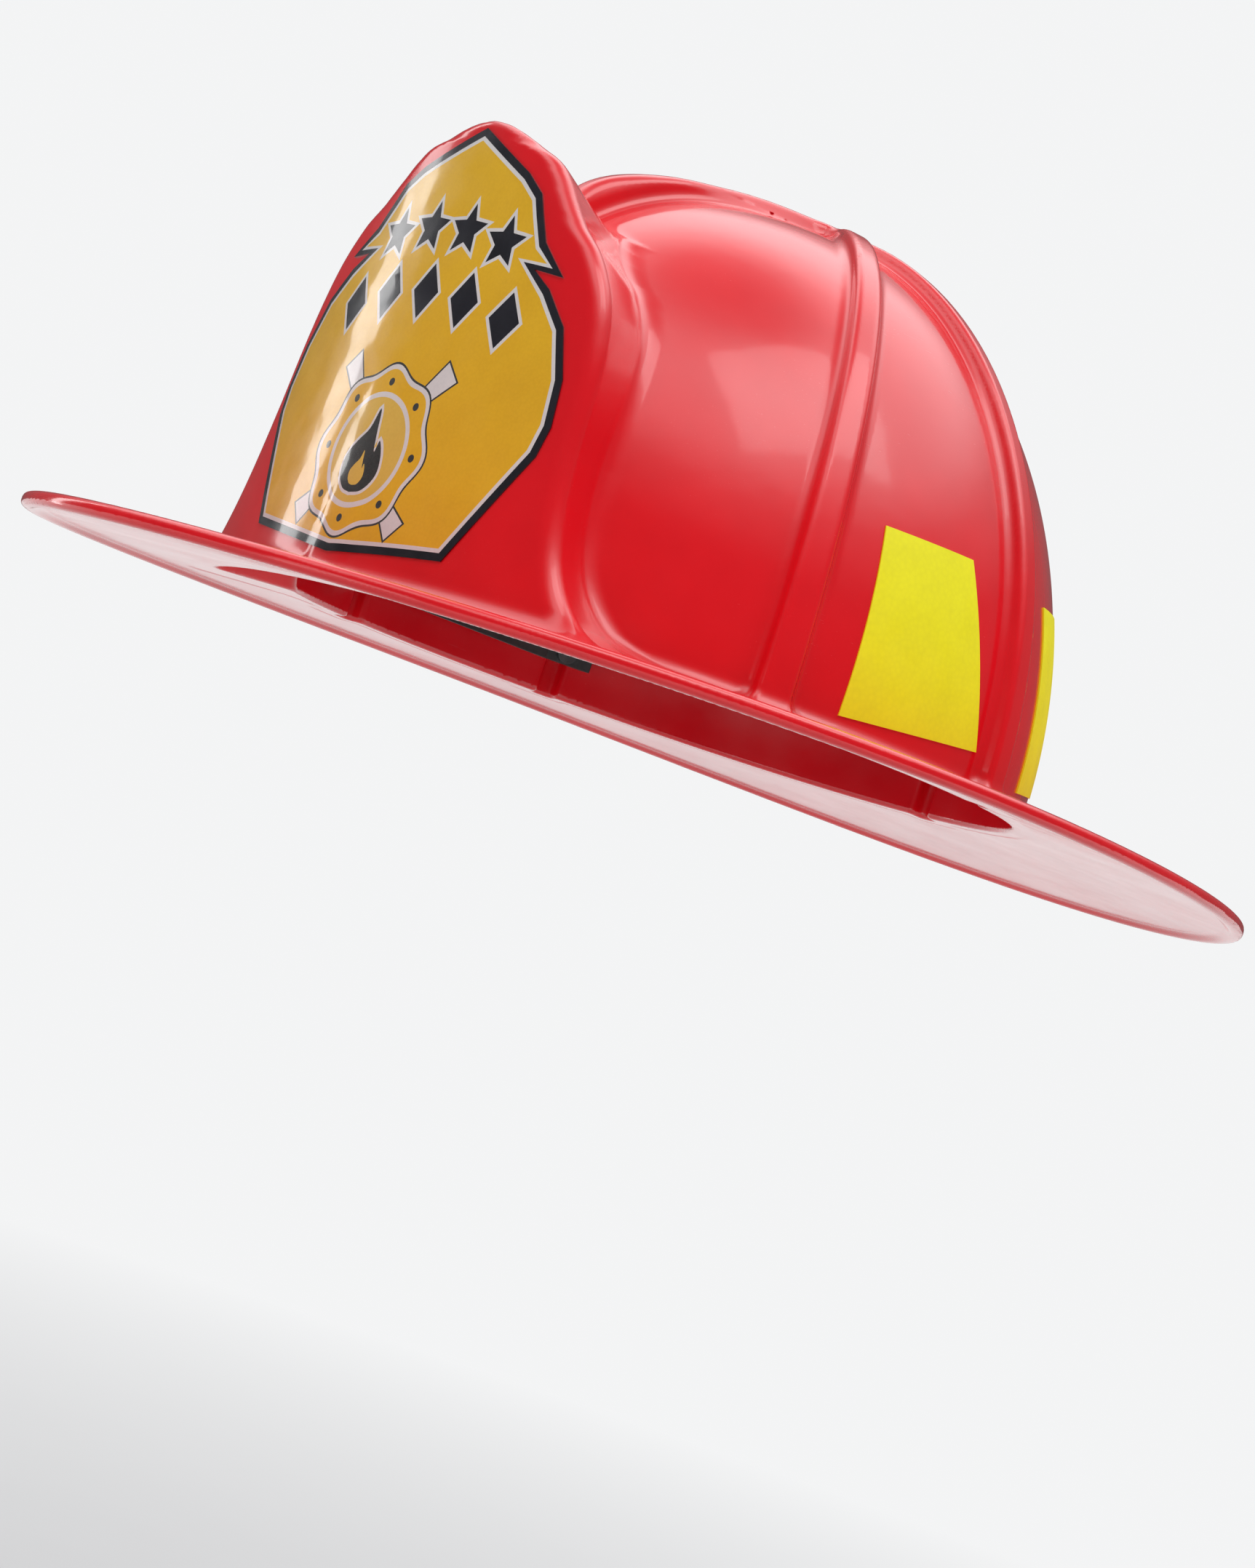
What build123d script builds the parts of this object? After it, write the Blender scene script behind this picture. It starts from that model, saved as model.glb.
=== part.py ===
"""Child's fire chief costume helmet: one moulded shell, vinyl stickers and a plug-in adjustable liner.

Millimetres. +Z up, -Y is the front, +X is the wearer's left. The origin is the centre of the crown's
base, on the brim plane. Every surface of the crown comes from crown(offset), so walls, stickers, ribs
and liner parts lie on each other exactly.
"""
from build123d import *
import os
from functools import cache
from math import sin, cos, tan, radians, sqrt

# --- crown ---------------------------------------------------------------------------------------
CROWN_HEIGHT = 109.5
CROWN_HALF_WIDTH = 82.0
CROWN_FRONT = -85.5
CROWN_REAR = 96.0
TOP_AXIS_Y = 14.0            # the ribs meet on this vertical axis
FRONT_FULLNESS = 2.6         # exponent of the profile: 2 is an ellipse, more is fuller
WALL = 1.6
CROWN_LEVELS = [0, 0.14, 0.28, 0.42, 0.56, 0.69, 0.8, 0.88, 0.94, 0.975, 0.993]

# --- ribs ----------------------------------------------------------------------------------------
RIB_HEIGHT = 3.6
RIB_WIDTH_BASE = 8.4
RIB_WIDTH_TOP = 6.0
FRONT_RIB_BEARING = 60.6     # bearings are measured from the front, about the top axis
REAR_RIB_BEARING = 105.0
RIB_BEARINGS = [0, FRONT_RIB_BEARING, REAR_RIB_BEARING, 180, -REAR_RIB_BEARING, -FRONT_RIB_BEARING]
BOSS_RADIUS = 9.0
COMB_WIDTH = 6.4             # the front rib stands taller over the brow
COMB_CREST = [(TOP_AXIS_Y, 112.8), (-5, 110.4), (-22, 107.8), (-36, 106.6), (-48, 103.0), (-57, 97.8),
              (-63, 90.5), (-67, 82)]

# --- brim ----------------------------------------------------------------------------------------
BRIM_FRONT = 150.0
BRIM_REAR = 178.0
BRIM_HALF_WIDTH = 111.0
BRIM_DROP = 6.3              # at the front edge; the brim is part of a very large sphere
BRIM_THICK = 1.8
BRIM_RADIUS = BRIM_FRONT**2 / (2 * BRIM_DROP)
LOW = -14.0                  # below everything

# --- shield --------------------------------------------------------------------------------------
SHIELD_Y = -90.8             # front of the shield at the brim plane
SHIELD_RADIUS = 162.0
SHIELD_LEAN = 2.8            # degrees that the shield leans back
SHIELD_AXIS_Y = SHIELD_Y + SHIELD_RADIUS
SHIELD_ROOT_Y = -40.0        # the shield's walls run back to this plane, inside the crown
SHIELD_OGEE = [(0.89, 0.2), (0.64, 0.5), (0.46, 0.7), (0.31, 0.85), (0.1, 1.0)]   # (share of width, share of rise)
SCOOP_Y = -56.0
SCOOP_Z = 119.0
SCOOP_RADIUS = 33.0

# --- stickers ------------------------------------------------------------------------------------
STICKER = 0.35
SIDE_REFLECTOR = [(-27.5, 2.5), (14, 6.3), (0.5, 44.3), (-25.7, 43.3)]
REAR_REFLECTOR = [(-21.5, 2.5), (20.5, 5), (8, 44), (-20, 43.3)]
REAR_REFLECTOR_BEARING = 135.0

# --- liner ---------------------------------------------------------------------------------------
BAND_HALF_WIDTH = 69.0
BAND_FRONT = -82.0
BAND_BEND_Y = -16.0          # the band's sides are straight behind here
BAND_END_Y = 24.0
BAND_THICK = 1.4
BAND_LOW = 4.0
BAND_HIGH = 30.0
SLIDE_GAP = 0.1
NAPE_START_Y = -6.0
NAPE_BEND_Y = 16.0
NAPE_REAR = 84.0
NAPE_LOW = 10.0
SLIDE_FORWARD = 9.0
SLIDE_BACK = 5.0
STUD_Z = 21.0
STUD_YS = [2.0, 12.0]
STUD_RADIUS = 2.0
STUD_HEAD_RADIUS = 3.8
STUD_HEAD_THICK = 1.5
STUD_CLEARANCE = 0.06
PAD_THICK = 4.0
PAD_END_Y = -36.0
STRAP_THICK = 1.2
STRAP_WIDTH = 14.0
STRAP_LOW = 4.6
STRAP_TAB_HIGH = 37.0
ARCH_BASE_Z = 28.0
ARCH_TOP_Z = 84.0
KEY_THICK = 1.4
KEY_FOOT_WIDTH = 12.0
KEY_LOW = 4.6
KEY_FOOT_HIGH = 15.0
KEY_ARM_LOW = 10.4
KEY_ARM_HIGH = 14.4
KEY_TOP = 27.0
KEY_PLAY = 0.3
BRIDGE_LOW = 15.0
BRIDGE_HIGH = 22.0
REAR_HANG_DEPTH = 5.4        # the rear strap ends lie this far inside the crown's skin
RIVET_Z = 7.4
RIVET_RADIUS = 1.5
RIVET_HEAD_RADIUS = 2.6
RIVET_HEAD_THICK = 1.0
CROWN_RIVET_RADIUS = 2.0
CROWN_RIVET_HEAD = 4.5
CROWN_RIVET_PLAY = 0.15
STRAP_LIFT = STRAP_THICK + 0.5     # the upper strap crosses this much above the lower one


def write(shape, node):
    """Write one sub-part, as a plain solid or as a group of separate solids."""
    solids = shape.solids()
    part = solids[0] if len(solids) == 1 else Compound(children=solids)
    part.label = node
    export_step(part, "parts/" + node + ".step")


# --- construction solids -------------------------------------------------------------------------
def profile(height_share, exponent):
    """How far out the crown's side stands at a share of its height, from 1 at the base to 0."""
    return (1 - height_share**exponent) ** (1 / exponent)


@cache
def crown(offset):
    """Solid crown, its skin moved out by offset, with a straight skirt below the brim plane."""
    sections = []
    for share in CROWN_LEVELS:
        front = TOP_AXIS_Y - (TOP_AXIS_Y - CROWN_FRONT + offset) * profile(share, FRONT_FULLNESS)
        rear = TOP_AXIS_Y + (CROWN_REAR - TOP_AXIS_Y + offset) * profile(share, 2)
        half_width = (CROWN_HALF_WIDTH + offset) * profile(share, 2)
        plane = Plane((0, (front + rear) / 2, share * (CROWN_HEIGHT + offset)))
        sections.append(plane * Ellipse(half_width, (rear - front) / 2))
    dome = loft(sections)
    skirt = extrude(sections[0], -LOW, dir=(0, 0, -1))
    return dome + skirt


def slab(low, high):
    """Everything between two heights."""
    return Pos(0, 0, (low + high) / 2) * Box(500, 500, high - low)


def fin(bearing, base_width, top_width, reach=130):
    """Upright wedge from the top axis outward along a bearing."""
    half_base = base_width / 2
    half_top = top_width / 2
    plane = Plane((0, TOP_AXIS_Y, 0), x_dir=(cos(radians(bearing)), sin(radians(bearing)), 0),
                  z_dir=(sin(radians(bearing)), -cos(radians(bearing)), 0))
    outline = Polyline((-half_base, LOW), (half_base, LOW), (half_top, 130), (-half_top, 130), close=True)
    return extrude(plane * make_face(outline), reach)


def ribs(offset, inset):
    """Six ribs as wedges cut from a larger crown, with the boss where they meet."""
    wedges = [fin(b, RIB_WIDTH_BASE - 2 * inset, RIB_WIDTH_TOP - 2 * inset) for b in RIB_BEARINGS]
    star = wedges[0]
    for wedge in wedges[1:]:
        star = star + wedge
    boss = Pos(0, TOP_AXIS_Y, 100) * Cylinder(BOSS_RADIUS - inset, 40)
    return (star + boss) & crown(offset)


def comb(inset):
    """Front rib's taller crest, drawn in the plane of symmetry."""
    crest = [(y + (inset if z < 100 else 0), z - inset) for y, z in COMB_CREST]
    edge = Spline(*crest)
    rest = Polyline(crest[-1], (crest[-1][0] + 12, 70), (TOP_AXIS_Y, 70), crest[0])
    plane = Plane((0, 0, 0), x_dir=(0, 1, 0), z_dir=(1, 0, 0))
    return extrude(plane * make_face(edge + rest), COMB_WIDTH / 2 - inset, both=True)


def brim_top(offset):
    """Everything above the brim's bowed top face, moved up by offset."""
    ball = Pos(0, 0, -BRIM_RADIUS + offset) * Sphere(BRIM_RADIUS)
    return Pos(0, 0, 60) * Box(600, 600, 200) - ball


def brim_outline():
    """Plan of the brim: a half ellipse at the front and a longer one at the rear."""
    front = EllipticalCenterArc((0, 0), BRIM_HALF_WIDTH, BRIM_FRONT, start_angle=180, arc_size=180)
    rear = EllipticalCenterArc((0, 0), BRIM_HALF_WIDTH, BRIM_REAR, start_angle=0, arc_size=180)
    return make_face(front + rear)


def shield_outline(y, half_width, edge, tip, inset):
    """Front view of the shield at one depth: flared foot, straight sides, ogee shoulders, blunt tip."""
    w = half_width - inset
    top = tip - inset
    shoulder = edge - inset * 0.6
    rise = top - shoulder
    foot = [(w + 21, -2), (w + 10, 8), (w + 5, 18), (w + 3, 32), (w, shoulder)]
    ogee = [foot[-1]] + [(w * across, shoulder + rise * up) for across, up in SHIELD_OGEE]
    right = [(w + 24, LOW), foot[0], *foot]
    outline = [Line(right[0], foot[0]), Spline(*foot)]
    outline += [Line(a, b) for a, b in zip(ogee, ogee[1:])]
    mirrored = [mirror(edge_line, about=Plane.YZ) for edge_line in reversed(outline)]
    outline = outline + [Line(ogee[-1], (-ogee[-1][0], top))] + mirrored + [Line((-w - 24, LOW), right[0])]
    return Plane((0, y, 0), x_dir=(1, 0, 0), z_dir=(0, -1, 0)) * make_face(outline)


def shield_frame():
    """Where the shield's curved face is drawn: its axis leans back."""
    return Pos(0, SHIELD_AXIS_Y, 0) * Rot(-SHIELD_LEAN, 0, 0)


def shield(inset):
    """Shield block drawn from a wide front outline to a narrower one inside the crown."""
    front = shield_outline(SHIELD_Y - 6, 60, 62, 107, inset)
    root = shield_outline(SHIELD_ROOT_Y, 35, 52, 84, inset)
    block = loft([root, front], ruled=True)
    face = shield_frame() * Cylinder(SHIELD_RADIUS - inset, 280)
    scoop = Pos(0, SCOOP_Y, SCOOP_Z) * Rot(0, 90, 0) * Cylinder(SCOOP_RADIUS + inset, 200)
    return (block & face) - scoop


def band_core(offset):
    """Solid inside the headband's outer skin, moved out by offset, open toward the rear."""
    a = BAND_HALF_WIDTH + offset
    arc = EllipticalCenterArc((0, BAND_BEND_Y), a, BAND_BEND_Y - BAND_FRONT + offset,
                              start_angle=180, arc_size=180)
    sides = Polyline((a, BAND_BEND_Y), (a, BAND_END_Y), (-a, BAND_END_Y), (-a, BAND_BEND_Y))
    return extrude(make_face(arc + sides), 60)


def nape_core(offset):
    """Solid inside the nape strap's outer skin, moved out by offset, open toward the front."""
    a = BAND_HALF_WIDTH - BAND_THICK - SLIDE_GAP + offset
    arc = EllipticalCenterArc((0, NAPE_BEND_Y), a, NAPE_REAR - NAPE_BEND_Y + offset,
                              start_angle=0, arc_size=180)
    sides = Polyline((-a, NAPE_BEND_Y), (-a, NAPE_START_Y), (a, NAPE_START_Y), (a, NAPE_BEND_Y))
    return extrude(make_face(arc + sides), 60)


def hang_core(bearing, offset):
    """The surface that a cradle strap's end lies on: the headband in front, the crown's skin behind."""
    if abs(bearing) < 90:
        return band_core(offset)
    return crown(offset - REAR_HANG_DEPTH)


def hang_point(bearing, z=RIVET_Z):
    """Where the strap's end crosses its bearing, at a height: found on the core's own skin."""
    ray = fin(bearing, 0.02, 0.02) & hang_core(bearing, 0) & slab(z - 0.01, z + 0.01)
    reach = sin(radians(bearing))
    box = ray.bounding_box()
    x = box.max.X if reach > 0 else box.min.X
    return (x, TOP_AXIS_Y - x / tan(radians(bearing)), z)


def hang_normal(bearing):
    """Outward direction of that skin, seen from above."""
    near = hang_point(bearing - 2)
    far = hang_point(bearing + 2)
    dx, dy = far[0] - near[0], far[1] - near[1]
    return (-dy / sqrt(dx * dx + dy * dy), dx / sqrt(dx * dx + dy * dy), 0)


def pin_at(point, direction, radius, length=30):
    """Cylinder centred on a point, along a direction."""
    return Plane(point, z_dir=direction) * Cylinder(radius, length)


# --- sub-parts -----------------------------------------------------------------------------------
def make_shell():
    """Crown, brim, ribs and shield as one thin moulding, open below, with four key bridges inside."""
    outside = crown(0) + ribs(RIB_HEIGHT, 0) + shield(0) + comb(0)
    inside = crown(-WALL) + ribs(RIB_HEIGHT - WALL, WALL) + shield(WALL) + comb(WALL)
    brim = extrude(brim_outline(), 60, both=True) & brim_top(-BRIM_THICK)
    brim = brim - brim_top(0)
    skin = (outside & brim_top(-BRIM_THICK)) + brim - inside
    bridges = (crown(0) - crown(-WALL)) & slab(BRIDGE_LOW, BRIDGE_HIGH)
    for bearing in (FRONT_RIB_BEARING, REAR_RIB_BEARING, -FRONT_RIB_BEARING, -REAR_RIB_BEARING):
        skin = skin + (bridges & fin(bearing, RIB_WIDTH_BASE, RIB_WIDTH_BASE))
    return skin


def make_front_label():
    """Shield-shaped vinyl sticker on the shield's face."""
    right = [(34.5, 6), (48, 31.5), (49, 38), (47.5, 48), (43, 58.5), (36, 65.5), (30.2, 69), (38.4, 68.4),
             (30.5, 75), (26.8, 81), (24.5, 85), (18.8, 89)]
    left = [(-x, z) for x, z in reversed(right)]
    outline = Polyline((0, 2.5), *right, (0, 98), *left, close=True)
    foot = -SHIELD_RADIUS * sin(radians(SHIELD_LEAN))
    plane = Plane((0, -SHIELD_RADIUS - 10, foot), x_dir=(1, 0, 0), z_dir=(0, -1, 0))
    prism = extrude(plane * make_face(outline), -60)
    sheet = Cylinder(SHIELD_RADIUS + STICKER, 240) - Cylinder(SHIELD_RADIUS, 260)
    return shield_frame() * (prism & sheet)


def make_reflector(bearing, corners):
    """Trapezoid sticker on the crown, drawn as seen from straight outside along its bearing."""
    plane = Plane((0, TOP_AXIS_Y, 0), x_dir=(cos(radians(bearing)), sin(radians(bearing)), 0),
                  z_dir=(sin(radians(bearing)), -cos(radians(bearing)), 0))
    prism = extrude(plane * make_face(Polyline(*corners, close=True)), 130)
    return (prism & crown(STICKER)) - crown(0)


def make_headband():
    """Front band with straight slotted tails and four holes for the front key rivets."""
    band = (band_core(0) - band_core(-BAND_THICK)) & slab(BAND_LOW, BAND_HIGH)
    slot_front = STUD_YS[0] - SLIDE_FORWARD
    slot_rear = STUD_YS[-1] + SLIDE_BACK
    half_slot = STUD_RADIUS + STUD_CLEARANCE
    slot = Box(300, slot_rear - slot_front, 2 * half_slot)
    slot = Pos(0, (slot_front + slot_rear) / 2, STUD_Z) * slot
    ends = [Pos(0, y, STUD_Z) * Rot(0, 90, 0) * Cylinder(half_slot, 300) for y in (slot_front, slot_rear)]
    band = band - slot - ends[0] - ends[1]
    for bearing in (FRONT_RIB_BEARING, -FRONT_RIB_BEARING):
        band = band - rivet_shaft(bearing)
    return band


def make_brow_pad():
    """Sweat pad lining the front of the band."""
    gap = 0.15
    pad = band_core(-BAND_THICK - gap) - band_core(-BAND_THICK - PAD_THICK)
    front = Pos(0, PAD_END_Y - 100, 0) * Box(300, 200, 200)
    return pad & front & slab(BAND_LOW + 3.5, BAND_HIGH - 1)


def make_nape_strap():
    """Rear strap whose straight arms slide inside the headband's tails."""
    strap = (nape_core(0) - nape_core(-BAND_THICK)) & slab(NAPE_LOW, BAND_HIGH)
    for y in STUD_YS:
        strap = strap - Pos(0, y, STUD_Z) * Rot(0, 90, 0) * Cylinder(STUD_RADIUS, 300)
    return strap


def make_size_studs():
    """Studs fixed in the nape strap, their heads outside the headband's slots."""
    inner = BAND_HALF_WIDTH - 2 * BAND_THICK - SLIDE_GAP
    under_head = BAND_HALF_WIDTH + SLIDE_GAP
    shaft = Pos(0, 0, (inner + under_head) / 2) * Cylinder(STUD_RADIUS, under_head - inner)
    head = Pos(0, 0, under_head + STUD_HEAD_THICK / 2) * Cylinder(STUD_HEAD_RADIUS, STUD_HEAD_THICK)
    head = fillet(head.edges().group_by(Axis.Z)[-1], 0.6)
    foot = Pos(0, 0, inner - STUD_HEAD_THICK / 4) * Cylinder(STUD_HEAD_RADIUS, STUD_HEAD_THICK / 2)
    stud = shaft + head + foot
    group = []
    for y in STUD_YS:
        for side in (90, -90):
            group.append(Pos(0, y, STUD_Z) * Rot(0, side, 0) * stud)
    return Compound(children=group)


def rivet_shaft(bearing):
    """The rivet's shaft line through band, strap end and key foot."""
    return pin_at(hang_point(bearing), hang_normal(bearing), RIVET_RADIUS)


def make_key_rivets():
    """One rivet per key, its heads shaped to the curved faces they clamp."""
    group = []
    for bearing in (FRONT_RIB_BEARING, REAR_RIB_BEARING):
        inner = -BAND_THICK if bearing < 90 else 0
        outer = STRAP_THICK + KEY_THICK
        head = pin_at(hang_point(bearing), hang_normal(bearing), RIVET_HEAD_RADIUS)
        far = hang_core(bearing, outer + RIVET_HEAD_THICK) - hang_core(bearing, outer)
        near = hang_core(bearing, inner) - hang_core(bearing, inner - RIVET_HEAD_THICK)
        middle = hang_core(bearing, outer) - hang_core(bearing, inner)
        side = Pos(150, 0, 0) * Box(300, 300, 300)
        rivet = (head & far & side) + (head & near & side) + (rivet_shaft(bearing) & middle & side)
        group = group + [rivet, mirror(rivet, about=Plane.YZ)]
    return Compound(children=group)


def make_hanger_key(bearing):
    """Key whose tongue plugs up behind the bridge in a rib's hollow; its foot holds the strap's end."""
    wide = fin(bearing, KEY_FOOT_WIDTH, KEY_FOOT_WIDTH)
    thin = 2 * WALL + KEY_PLAY
    narrow = fin(bearing, RIB_WIDTH_BASE - thin, RIB_WIDTH_TOP - thin)
    behind = crown(RIB_HEIGHT - WALL - KEY_PLAY)
    foot = hang_core(bearing, STRAP_THICK + KEY_THICK) - hang_core(bearing, STRAP_THICK)
    foot = foot & wide & slab(KEY_LOW, KEY_FOOT_HIGH)
    arm = (behind - hang_core(bearing, STRAP_THICK)) & narrow & slab(KEY_ARM_LOW, KEY_ARM_HIGH)
    tongue = (behind - crown(0)) & narrow & slab(KEY_ARM_LOW, KEY_TOP)
    return foot + arm + tongue - rivet_shaft(bearing)


def make_cradle_strap(side, lift):
    """Strap from a front key on one side, over the head, to the rear key on the other side."""
    front_bearing = side * FRONT_RIB_BEARING
    rear_bearing = -side * REAR_RIB_BEARING
    strap = None
    for bearing in (front_bearing, rear_bearing):
        tab = hang_core(bearing, STRAP_THICK) - hang_core(bearing, 0)
        tab = tab & fin(bearing, STRAP_WIDTH, STRAP_WIDTH) & slab(STRAP_LOW, STRAP_TAB_HIGH)
        tab = tab - rivet_shaft(bearing)
        strap = tab if strap is None else strap + tab
    start = Vector(*hang_point(front_bearing, BAND_HIGH))
    end = Vector(*hang_point(rear_bearing, BAND_HIGH))
    middle = (start + end) / 2
    run = (end - start).normalized()
    across = Vector(-run.Y, run.X, 0)
    half_span = (end - start).length / 2
    plane = Plane((middle.X, middle.Y, ARCH_BASE_Z), x_dir=run, z_dir=across)
    rise = ARCH_TOP_Z + lift - ARCH_BASE_Z
    outer = Ellipse(half_span + STRAP_THICK, rise + STRAP_THICK)
    arch = extrude(plane * (outer - Ellipse(half_span, rise)), STRAP_WIDTH / 2, both=True)
    strap = strap + (arch & slab(BAND_HIGH + 1, 100))
    return strap - Pos(0, crossing_y(), 80) * Cylinder(CROWN_RIVET_RADIUS, 40)


def crossing_y():
    """Where the two cradle straps cross, on the plane of symmetry."""
    start = hang_point(FRONT_RIB_BEARING, BAND_HIGH)
    end = hang_point(-REAR_RIB_BEARING, BAND_HIGH)
    return start[1] + (end[1] - start[1]) * start[0] / (start[0] - end[0])


def make_cradle_rivet():
    """Rivet through both cradle straps where they cross."""
    low = ARCH_TOP_Z - CROWN_RIVET_PLAY
    high = ARCH_TOP_Z + STRAP_LIFT + STRAP_THICK
    y = crossing_y()
    shaft = Pos(0, y, (low + high) / 2) * Cylinder(CROWN_RIVET_RADIUS, high - low)
    top = Pos(0, y, high + RIVET_HEAD_THICK / 2) * Cylinder(CROWN_RIVET_HEAD, RIVET_HEAD_THICK)
    bottom = Pos(0, y, low - RIVET_HEAD_THICK / 2) * Cylinder(CROWN_RIVET_HEAD, RIVET_HEAD_THICK)
    return shaft + top + bottom


def main():
    os.makedirs("parts", exist_ok=True)
    write(make_shell(), "shell")
    write(make_front_label(), "front_label")
    for name, bearing, corners in (("side", 90.0, SIDE_REFLECTOR),
                                   ("rear", REAR_REFLECTOR_BEARING, REAR_REFLECTOR)):
        left = make_reflector(bearing, corners)
        write(left, "reflector_left_" + name)
        write(mirror(left, about=Plane.YZ), "reflector_right_" + name)
    write(make_headband(), "headband")
    write(make_brow_pad(), "brow_pad")
    write(make_nape_strap(), "nape_strap")
    write(make_size_studs(), "size_studs")
    write(make_cradle_strap(1, 0), "cradle_strap_lower")
    write(make_cradle_strap(-1, STRAP_LIFT), "cradle_strap_upper")
    write(make_cradle_rivet(), "cradle_rivet")
    for name, bearing in (("front", FRONT_RIB_BEARING), ("rear", REAR_RIB_BEARING)):
        left = make_hanger_key(bearing)
        write(left, "key_left_" + name)
        write(mirror(left, about=Plane.YZ), "key_right_" + name)
    write(make_key_rivets(), "key_rivets")


main()
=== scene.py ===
"""Looks for the child's fire helmet: a moulded shell, stickers and a plug-in liner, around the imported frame.

Lengths in the helmet's own shape functions are millimetres, in the frame's axes: +Z up, -Y front.
Blender objects are in metres.
"""
import math
import bpy
import numpy as np
from mathutils import Matrix, Vector
from mathutils.geometry import delaunay_2d_cdt


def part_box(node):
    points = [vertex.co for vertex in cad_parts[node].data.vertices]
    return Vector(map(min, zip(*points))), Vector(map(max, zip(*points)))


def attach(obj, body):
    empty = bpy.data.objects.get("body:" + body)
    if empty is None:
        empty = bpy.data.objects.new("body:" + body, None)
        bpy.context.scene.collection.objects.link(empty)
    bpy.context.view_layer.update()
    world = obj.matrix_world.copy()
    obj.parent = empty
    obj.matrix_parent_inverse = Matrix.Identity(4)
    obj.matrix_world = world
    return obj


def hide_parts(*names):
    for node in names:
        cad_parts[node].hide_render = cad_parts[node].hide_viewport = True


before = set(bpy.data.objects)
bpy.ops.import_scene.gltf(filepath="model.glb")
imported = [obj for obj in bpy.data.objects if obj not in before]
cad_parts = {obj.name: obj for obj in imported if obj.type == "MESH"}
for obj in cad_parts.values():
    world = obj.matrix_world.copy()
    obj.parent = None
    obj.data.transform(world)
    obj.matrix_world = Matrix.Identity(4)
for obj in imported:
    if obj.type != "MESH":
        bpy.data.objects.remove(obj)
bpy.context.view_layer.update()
MM = 0.001

# --- driving dimensions, from the frame where it holds them -----------------------------------------
shell_low, shell_high = [np.array(corner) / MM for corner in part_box("shell")]
RIB_HEIGHT = 3.6
RIB_EDGE = 1.8
CROWN_HEIGHT = shell_high[2] - RIB_HEIGHT
BRIM_HALF_WIDTH = shell_high[0]
BRIM_FRONT = -shell_low[1]
BRIM_REAR = shell_high[1]
TOP_AXIS_Y = 14.0
CROWN_HALF_WIDTH = 82.0
CROWN_FRONT = -85.5
CROWN_REAR = 96.0
FRONT_FULLNESS = 2.6
CROWN_CAP = 0.998  # share of the height above which the plan keeps its proportions and only shrinks
WALL = 1.6
RIB_WIDTH_BASE = 8.4
RIB_WIDTH_TOP = 6.0
RIB_LOW_Z = -14.0
RIB_TOP_Z = 130.0
SIDE_RIBS = (60.6, 105.0)
SIDE_BEARINGS = [-b for b in SIDE_RIBS] + list(SIDE_RIBS)
BOSS_RADIUS = 9.0
BOSS_FOOT_Z = 90.0
BOSS_FILLET = 4.0
COMB_WIDTH = 6.4
COMB_EDGE = 2.4
COMB_FOOT_Y = -70.0
COMB_END_BLEND = 6.0
COMB_CREST = [(20, 112.4), (14, 112.8), (-5, 110.4), (-22, 107.8), (-36, 106.6), (-48, 103), (-57, 97.8),
              (-63, 90.5), (-67, 82), (-70, 70)]
BRIM_THICK = 1.8
BRIM_DROP = 6.3
BRIM_RADIUS = BRIM_FRONT**2 / (2 * BRIM_DROP)
BEAD_RADIUS = 1.5
SHIELD_Y = -90.8
SHIELD_RADIUS = 162.0
SHIELD_AXIS_Y = SHIELD_Y + SHIELD_RADIUS
SHIELD_LEAN = math.radians(2.8)
SHIELD_ROOT_Y = -40.0
SHIELD_ROOT_HALF, SHIELD_FACE_HALF = 36.0, 62.0
SHIELD_ROOT_TIP, SHIELD_FACE_TIP = 85.0, 107.5
SHIELD_EDGE_Z = 34.0
FOOT_Z = -2.0
FOOT_SPREAD = 3.0
FOOT_FLARE = 17.0
CAVITY_FLARE = 9.0
FLARE_FADE = 9.0
SHIELD_ROUNDING = 4.5
SHIELD_TOP_EDGE = 2.0
SCOOP = (-56.0, 119.0, 33.0)  # y, z and radius of the hollow behind the shield's top
SCOOP_EDGE = 4.0
RIB_FILLET = 3.0
SHIELD_FILLET = 4.0
BRIM_FILLET = 5.0
INNER_FILLET = 1.5
BRIDGE_Z = (15.0, 22.0)


# --- the shell as a distance field ---------------------------------------------------------------
def smooth_min(a, b, blend):
    share = np.maximum(blend - np.abs(a - b), 0) / blend
    return np.minimum(a, b) - share * share * blend * 0.25


def smooth_max(a, b, blend):
    return -smooth_min(-a, -b, blend)


def crown_distance(p, offset):
    """Distance to the crown with its skin moved out by offset; straight walls below the brim plane.

    The sides and rear are round and the front is fuller, so the plan's depth and middle change with height.
    """
    x, y, z = p.T
    height = CROWN_HEIGHT + offset
    rise = np.maximum(z, 0) / height
    share = np.minimum(rise, CROWN_CAP)
    rising = (rise > 0) & (rise < CROWN_CAP)
    round_side = np.sqrt(1 - share**2)
    front_power = 1 - share**FRONT_FULLNESS
    fuller = front_power ** (1 / FRONT_FULLNESS) / round_side
    side_slope = np.where(rising, -share / (height * round_side), 0)
    fuller_slope = fuller * (share / round_side**2 - share ** (FRONT_FULLNESS - 1) / front_power) / height
    fuller_slope = np.where(rising, fuller_slope, 0)
    reach_front = TOP_AXIS_Y - CROWN_FRONT + offset
    reach_rear = CROWN_REAR - TOP_AXIS_Y + offset
    b = CROWN_HALF_WIDTH + offset
    a = (reach_rear + reach_front * fuller) / 2
    shift = (reach_rear - reach_front * fuller) / 2
    slope_a = reach_front * fuller_slope / 2
    slope_middle = side_slope * shift - round_side * slope_a
    v = y - TOP_AXIS_Y - round_side * shift
    q = np.sqrt((x / b) ** 2 + (v / a) ** 2 + rise**2) + 1e-9
    gz = rise / height - v * (slope_middle + v * slope_a / a) / a**2
    return (q - 1) * q / (np.sqrt((x / b**2) ** 2 + (v / a**2) ** 2 + gz**2) + 1e-9)


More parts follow.
